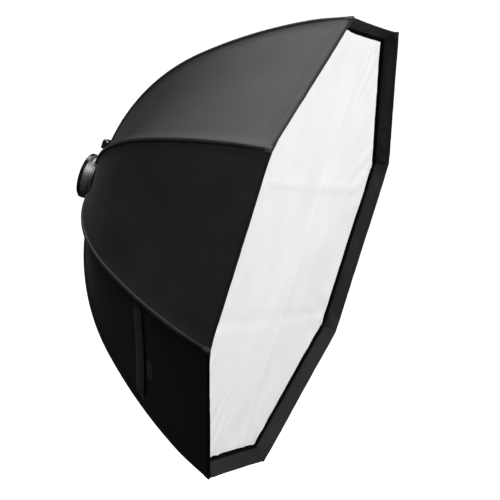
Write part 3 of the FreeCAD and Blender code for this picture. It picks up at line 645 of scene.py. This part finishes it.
def hem_stitches(number, side, letter):
    """The two rows of stitches along the hem of half a gore."""
    share = np.linspace(0.03, 1, 40)
    lift = CLOTH_LIFT + CLOTH_HALF - BOW_FRONT * belly_of(share)
    rows = []
    for back in HEM_SEAMS:
        radius, depth = rod_line(slope_at(back, lift), lift)
        points = place(number, side, radius, depth, share)
        slope = slope_at(back, lift)
        middle = radial(number + side * 0.5)
        ups = unit(np.sin(slope)[:, None] * middle - np.cos(slope)[:, None] * FORWARD)
        rows.append(along_line(points, ups, STITCH_PITCHES["hem"]))
    piece = sew(f"hem_stitches_{number}{letter}", rows, "hem")
    follow(piece)
    return piece


# ---------------------------------------------------------------- tapes, pockets and their stitches
def seam_surface(number, slopes, offsets, lift):
    """Points of a strip over a rod's seam: rows along the rod, columns at tangential offsets."""
    slope = slopes[:, None] + 0 * offsets[None, :]
    radius, depth = rod_line(slope, lift + 0 * slope)
    share = np.abs(offsets)[None, :] / (radius * math.sin(HALF) * math.cos(HALF))
    right = place(number, 1, radius, depth, share)
    left = place(number, -1, radius, depth, share)
    return np.where((offsets >= 0)[None, :, None], right, left)


def build_tape(number):
    """Binding tape sewn over a rod's seam, with a row of stitches near each edge."""
    slopes = np.linspace(CLOTH_START + 0.008, float(slope_at(POCKET_LENGTH - 0.001, CLOTH_LIFT)), 90)
    offsets = TAPE_WIDTH / 2 * np.sin(np.linspace(-math.pi / 2, math.pi / 2, 17))
    across = np.abs(2 * offsets / TAPE_WIDTH)
    crown = TAPE_RIDGE * (1 - across**4) + TAPE_BEAD * np.exp(-(((across - 0.72) / 0.14) ** 2))
    depth = rod_line(slopes, CLOTH_LIFT)[1][:, None]
    lift = CLOTH_LIFT + CLOTH_HALF + 0.0004 + sleeve(offsets[None, :], depth) + crown * flatten(depth)
    points = seam_surface(number, slopes, offsets, lift)
    normals = outward(points, radial(number))
    tape = cloth_piece(f"seam_tape_{number}", points, normals, 0.0004, [TAPE])
    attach(tape, f"rib_{number}")
    pitch = STITCH_PITCHES["tape"]
    rows = [along_line(points[:, n] + normals[:, n] * 0.0004, normals[:, n], pitch) for n in (4, 12)]
    stitches = sew(f"tape_stitches_{number}", rows, "tape")
    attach(stitches, f"rib_{number}")


def build_pocket(number):
    """Webbing patch on the outside of a corner, over the rod's tip."""
    offsets = np.linspace(-POCKET_HALF, POCKET_HALF, 11)
    backs = np.linspace(POCKET_LENGTH, POCKET_START, 10)
    grid = []
    for back in backs:
        ends = abs(2 * (back - POCKET_START) / (POCKET_LENGTH - POCKET_START) - 1)
        lift = CLOTH_LIFT + CLOTH_HALF + 0.0006 + sleeve(offsets, FRONT_DEPTH - back) + 0.0011 * (1 - ends**6)
        lift = lift * (1 - 0.08 * (np.abs(offsets) / POCKET_HALF) ** 4)
        slope = np.array([float(slope_at(back, CLOTH_LIFT))])
        grid.append(seam_surface(number, slope, offsets, lift[None, :])[0])
    points = np.array(grid)
    normals = outward(points, radial(number))
    pocket = cloth_piece(f"corner_pocket_{number}", points, normals, 0.0007, [WEBBING])
    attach(pocket, f"rib_{number}")
    pitch = STITCH_PITCHES["pocket"]
    rows = [along_line(points[:, n] + normals[:, n] * 0.0008, normals[:, n], pitch) for n in (1, 9)]
    rows += [along_line(points[n] + normals[n] * 0.0008, normals[n], pitch) for n in (1, 8)]
    stitches = sew(f"pocket_stitches_{number}", rows, "pocket")
    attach(stitches, f"rib_{number}")


def build_lip_shadow_tape(number, side, letter):
    """Near-black tape along the foot of the lip, where the diffuser's edge is fastened, for half a gore; its
    darkness is painted shade for the shadow of the gap there.
    """
    share = np.linspace(0, 1, 30)
    rows = []
    for forward, lift in LIP_TAPE_PROFILE:
        back = FRONT_DEPTH - DIFFUSER_DEPTH - forward
        wave = np.array([noise.noise(Vector((number * 7.1 + side, t * 11.0, 2.0))) for t in share])
        lifts = lift - 0.0010 * belly_of(share) + 0 * share
        radius, depth = rod_line(slope_at(back, lifts), lifts)
        rows.append(place(number, side, radius, depth + wave * LIP_TAPE_WAVE * forward, share))
    points = np.array(rows)
    normals = outward(points, -radial(number + side * 0.5))
    tape = cloth_piece(f"lip_shadow_tape_{number}{letter}", points, normals, 0.0004, [LIP_SHADOW_TAPE])
    follow(tape)


# ---------------------------------------------------------------- packing strap
def strap_strip(name, number, side, shares, middle_slope, width, proud, material):
    """Half of a band sewn across a gore."""
    slopes = middle_slope + np.linspace(-width / 2, width / 2, 9) / FAR_BEND
    grid = []
    for slope in slopes:
        belly = belly_of(shares)
        edge = abs(slope - middle_slope) * FAR_BEND / (width / 2)
        lift = CLOTH_LIFT - BOW_MIDDLE * belly + proud(shares) * (1 - 0.25 * edge**4)
        radius, depth = rod_line(slope + 0 * shares, lift)
        grid.append(place(number, side, radius, depth, shares))
    points = np.array(grid)
    normals = outward(points, radial(number + side * 0.5))
    strip = cloth_piece(name, points, normals, 0.0007, [material])
    follow(strip)
    return strip


def build_strap():
    """The strap that ties the folded box together, sewn across the lower left gore, and its patch."""
    slope = float(slope_at(FRONT_DEPTH - STRAP_DEPTH, CLOTH_LIFT))

    def loop(share):
        return 0.0020 + 0.0045 * smooth((share - 0.10) / 0.25)

    def flat(share):
        return 0.0022 + 0 * share

    for number, letter, side in ((7, "a", -1), (6, "b", 1)):
        shares = np.linspace(0.10, 1.0, 22)
        name = f"packing_strap_{number}{letter}"
        strap_strip(name, number, side, shares, slope, STRAP_WIDTH, loop, WEBBING)
    shares = np.linspace(0.62, 0.98, 10)
    forward = (STRAP_WIDTH * 0.5 + 0.020) / FAR_BEND
    strap_strip("strap_patch", 6, 1, shares, slope + forward, 0.022, flat, WEBBING)


# ---------------------------------------------------------------- diffuser
def diffuser_edge(number, side, share):
    """Points of the diffuser's edge, straight from corner to corner and just clear of the lip."""
    slope = slope_at(FRONT_DEPTH - DIFFUSER_DEPTH, DIFFUSER_LIFT)
    radius, depth = rod_line(slope + 0 * share, DIFFUSER_LIFT)
    return place(number, side, radius, depth, share)


def crease(x, z, angle, offset, width):
    """A soft ridge along a straight line in the diffuser's plane."""
    distance = x * math.cos(angle) + z * math.sin(angle) - offset
    return math.exp(-((distance / width) ** 2))


def diffuser_relief(x, z):
    """How far the diffuser stands forward: slack, old packing creases and pulls from its corners."""
    p = Vector((x, 0.0, z))
    height = noise.noise(p * 3.2 + Vector((1, 5, 2))) * 0.0042
    height += noise.noise(p * 8.5 + Vector((4, 0, 7))) * 0.0014
    height += 0.0016 * crease(x, z, math.radians(90), 0.16, 0.012)
    height -= 0.0014 * crease(x, z, math.radians(90), -0.20, 0.014)
    height += 0.0012 * crease(x, z, math.radians(0), 0.10, 0.016)
    radius = math.hypot(x, z)
    angle = math.atan2(x, z) - FIRST_ANGLE
    to_corner = (angle + HALF) % STEP - HALF
    near = smooth((radius - 0.36) / 0.22)
    fan = math.sin(to_corner * 46.0) * math.exp(-((to_corner / 0.22) ** 2))
    height += 0.0016 * near * fan
    return height


def diffuser_radius():
    """Distance of the diffuser's corners from the axis."""
    slope = slope_at(FRONT_DEPTH - DIFFUSER_DEPTH, DIFFUSER_LIFT)
    return float(rod_line(slope, DIFFUSER_LIFT)[0])


def diffuser_height(x, z):
    """How far the diffuser stands forward of its plane, calmer towards its edge and rolled back at it."""
    reach = max(x * radial(n + 0.5)[0] + z * radial(n + 0.5)[2] for n in range(1, ROD_COUNT + 1))
    part = reach / (diffuser_radius() * math.cos(HALF))
    hold = float(smooth((1 - part) / 0.10))
    scallop = 0.0010 * noise.noise(Vector((x, z, 0)) * 22.0) * (1 - hold)
    roll = 0.0008 * float(smooth((part - 0.972) / 0.028))
    return diffuser_relief(x, z) * (0.25 + 0.75 * hold) + scallop - roll


def build_diffuser():
    """The front cloth in eight sectors, each hung from one corner and cut at the middles of its edges."""
    across = 18
    rings = 34
    share = np.linspace(0, 1, across + 1)
    parts = np.concatenate([np.linspace(0, 0.955, rings), np.linspace(0.966, 1, 6)])
    edges = []
    for number in range(1, ROD_COUNT + 1):
        left = diffuser_edge(number, -1, share)[::-1]
        right = diffuser_edge(number, 1, share)
        edges.append(np.concatenate([left, right[1:]]))
    whole = np.concatenate([edge[:-1] for edge in edges])
    columns = len(whole)
    grid = np.zeros((len(parts), columns, 3))
    for j, edge in enumerate(whole):
        for i, part in enumerate(parts):
            x, z = edge[0] * part, edge[2] * part
            grid[i, j] = (x, -(DIFFUSER_DEPTH + diffuser_height(x, z)), z)
    wrapped = np.concatenate([grid[:, -1:], grid, grid[:, :1]], axis=1)
    normals = outward(wrapped, FORWARD)[:, 1:-1]
    normals[0] = FORWARD
    for number in range(1, ROD_COUNT + 1):
        start = (number - 1) * 2 * across
        picked = [(start + n) % columns for n in range(2 * across + 1)]
        points = grid[:, picked]
        piece = cloth_piece(f"diffuser_{number}", points, normals[:, picked], 0.0004, [WHITE_CLOTH])
        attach(piece, f"corner_{number}")
        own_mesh(piece)
        if number == 1:
            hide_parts("front_diffuser")
        build_patch(number)


def build_patch(number):
    """Reinforcing patch on a corner of the diffuser."""
    out = radial(number)
    across = tangent(number)
    outer = diffuser_radius() - PATCH_INSET
    rows = np.linspace(outer, outer - PATCH_LENGTH, 12)
    points = np.zeros((12, 9, 3))
    for i, distance in enumerate(rows):
        taper = PATCH_HALF * math.sqrt(1 - (abs(2 * i / 11 - 1) * 0.86) ** 4)
        for j, t in enumerate(np.linspace(-taper, taper, 9)):
            spot = out * distance + across * t
            height = diffuser_height(spot[0], spot[2]) + PATCH_LIFT
            points[i, j] = spot + FORWARD * (DIFFUSER_DEPTH + height)
    normals = outward(points, FORWARD)
    patch = cloth_piece(f"corner_patch_{number}", points, normals, 0.0003, [WHITE_PATCH])
    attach(patch, f"corner_{number}")
    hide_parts(f"diffuser_tab_{number}")


# ---------------------------------------------------------------- hub cloth
def build_hub_cloth():
    """The cloth that closes the shell round the hub: a flat ring, and a cuff over each rod's root."""
    depth = -COLLAR_HIGH.y + 0.0008
    columns = 96
    radii = np.linspace(HUB_HOLE, HUB_BEND, 9)
    points = np.zeros((len(radii), columns + 1, 3))
    for j in range(columns + 1):
        angle = 2 * math.pi * j / columns
        for i, radius in enumerate(radii):
            pleat = 0.0005 * math.sin(24 * angle) * smooth((radius - HUB_HOLE) / (HUB_BEND - HUB_HOLE))
            points[i, j] = (math.sin(angle) * radius, -(depth - pleat), math.cos(angle) * radius)
    normals = outward(points, -FORWARD)
    ring = cloth_piece("hub_cloth", points, normals, 0.0005, [BLACK_CLOTH])
    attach(ring, "hub")
    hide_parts("hub_collar")
    for number in range(1, ROD_COUNT + 1):
        build_cuff(number, HUB_BEND - 0.003, depth)


def build_cuff(number, start, depth):
    """Cloth cuff from the hub's ring out over a rod's root and the gores beside it."""
    outer = COLLAR_RADIUS + CUFF_OVERLAP
    radii = np.linspace(start, outer, 12)
    angles = np.linspace(-HALF, HALF, 17)
    points = np.zeros((len(radii), len(angles), 3))
    for i, radius in enumerate(radii):
        part = (radius - start) / (outer - start)
        for j, angle in enumerate(angles):
            flat = math.cos(angle)
            chord = radius * (1 - part * (1 - math.cos(HALF) / flat) * 0.9)
            here = depth - 0.0011 + CUFF_RISE * part**1.4 - CUFF_SAG * math.sin(math.pi * part)
            direction = radial(number) * math.cos(angle) + tangent(number) * math.sin(angle)
            points[i, j] = direction * chord + FORWARD * here
    normals = outward(points, -FORWARD)
    cuff = cloth_piece(f"hub_cuff_{number}", points, normals, 0.0005, [BLACK_CLOTH])
    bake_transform(cuff)


# ---------------------------------------------------------------- metal and moulded parts
def finish_frame():
    """Give every CAD node that stays in view its finish."""
    finishes = {
        "mount_ring": mount_material(),
        "rubber_collar": RUBBER,
        "swivel_neck": SATIN_METAL,
        "retaining_ring": SATIN_METAL,
        "neck_screws": STEEL,
        "hub_neck": DARK_METAL,
        "hub_body": HUB_PLASTIC,
        "hub_cover": HUB_PLASTIC,
        "cover_screws": STEEL,
        "pivot_pins": STEEL,
        "release_ring": HUB_PLASTIC,
        "lock_knob": GLOSS_BLACK,
        "lock_stud": STEEL,
    }
    for number in range(1, ROD_COUNT + 1):
        finishes[f"rod_{number}"] = SPRING_STEEL
        finishes[f"knuckle_{number}"] = KNUCKLE_PLASTIC
    for name, material in finishes.items():
        node = frame["nodes"][name]
        node.data.materials.clear()
        node.data.materials.append(material)


# ---------------------------------------------------------------- stage
def build_camera():
    """Camera at the photograph's viewing angle: from the left, a little in front and above, rolled."""
    camera = bpy.data.objects.new("camera", bpy.data.cameras.new("camera"))
    bpy.context.scene.collection.objects.link(camera)
    camera.data.sensor_width = 36.0
    camera.data.lens = 174.71
    camera.data.clip_end = 60.0
    right = Vector((0.28163, -0.91270, 0.29608))
    down = Vector((-0.00686, -0.31048, -0.95055))
    ahead = Vector((0.95949, 0.26568, -0.09369))
    turn = Matrix((right, -down, -ahead)).transposed()
    camera.matrix_world = Matrix.Translation((-6.0159, -2.1541, 0.5390)) @ turn.to_4x4()
    bpy.context.scene.camera = camera


def add_light(name, place_at, target, size, power):
    """A square soft light aimed at a point."""
    lamp = bpy.data.lights.new(name, "AREA")
    lamp.size = size
    lamp.energy = power
    light = bpy.data.objects.new(name, lamp)
    light.location = place_at
    light.rotation_euler = (Vector(target) - Vector(place_at)).to_track_quat("-Z", "Y").to_euler()
    light.visible_camera = False
    bpy.context.scene.collection.objects.link(light)


def build_stage():
    """Pale floor, white backdrop and soft lights."""
    world = bpy.data.worlds.new("studio")
    bpy.context.scene.world = world
    world.use_nodes = True
    tree = world.node_tree
    background = tree.nodes["Background"]
    background.inputs["Color"].default_value = (1, 1, 1, 1)
    background.inputs["Strength"].default_value = 0.03
    backdrop = tree.nodes.new("ShaderNodeBackground")
    backdrop.inputs["Color"].default_value = (1, 1, 1, 1)
    backdrop.inputs["Strength"].default_value = 1.1
    path = tree.nodes.new("ShaderNodeLightPath")
    mix = tree.nodes.new("ShaderNodeMixShader")
    tree.links.new(path.outputs["Is Camera Ray"], mix.inputs[0])
    tree.links.new(background.outputs[0], mix.inputs[1])
    tree.links.new(backdrop.outputs[0], mix.inputs[2])
    tree.links.new(mix.outputs[0], tree.nodes["World Output"].inputs["Surface"])

    material, _tree, shader, _add = node_material("pale_floor")
    shader.inputs["Base Color"].default_value = (0.8, 0.8, 0.8, 1)
    shader.inputs["Roughness"].default_value = 0.9
    shader.inputs["Emission Color"].default_value = (1, 1, 1, 1)
    shader.inputs["Emission Strength"].default_value = 1.1
    level = CAD_BOX[0][2] - 0.9
    span = 30.0
    floor = new_object(
        "floor",
        [(-span, -span, level), (span, -span, level), (span, span, level), (-span, span, level)],
        [(0, 1, 2, 3)],
        [material],
    )
    floor.visible_diffuse = False
    floor.visible_glossy = False

    centre = (0, -0.35, 0)
    add_light("top", (0.9, 2.0, 3.4), centre, 2.4, 82)
    add_light("front", (-0.2, -4.9, 2.2), centre, 2.6, 295)
    add_light("left", (-3.6, -0.2, 3.3), centre, 2.6, 240)
    add_light("back", (-2.2, 4.0, 0.0), centre, 1.6, 2.5)
    scene = bpy.context.scene
    scene.view_settings.view_transform = "Standard"
    scene.view_settings.look = "None"


# ---------------------------------------------------------------- the whole
for rod_number in range(1, ROD_COUNT + 1):
    build_gore(rod_number)
    build_tape(rod_number)
    build_pocket(rod_number)
    build_lip_shadow_tape(rod_number, 1, "b")
    build_lip_shadow_tape(rod_number, -1, "a")
build_strap()
build_diffuser()
build_hub_cloth()
finish_frame()
build_camera()
build_stage()
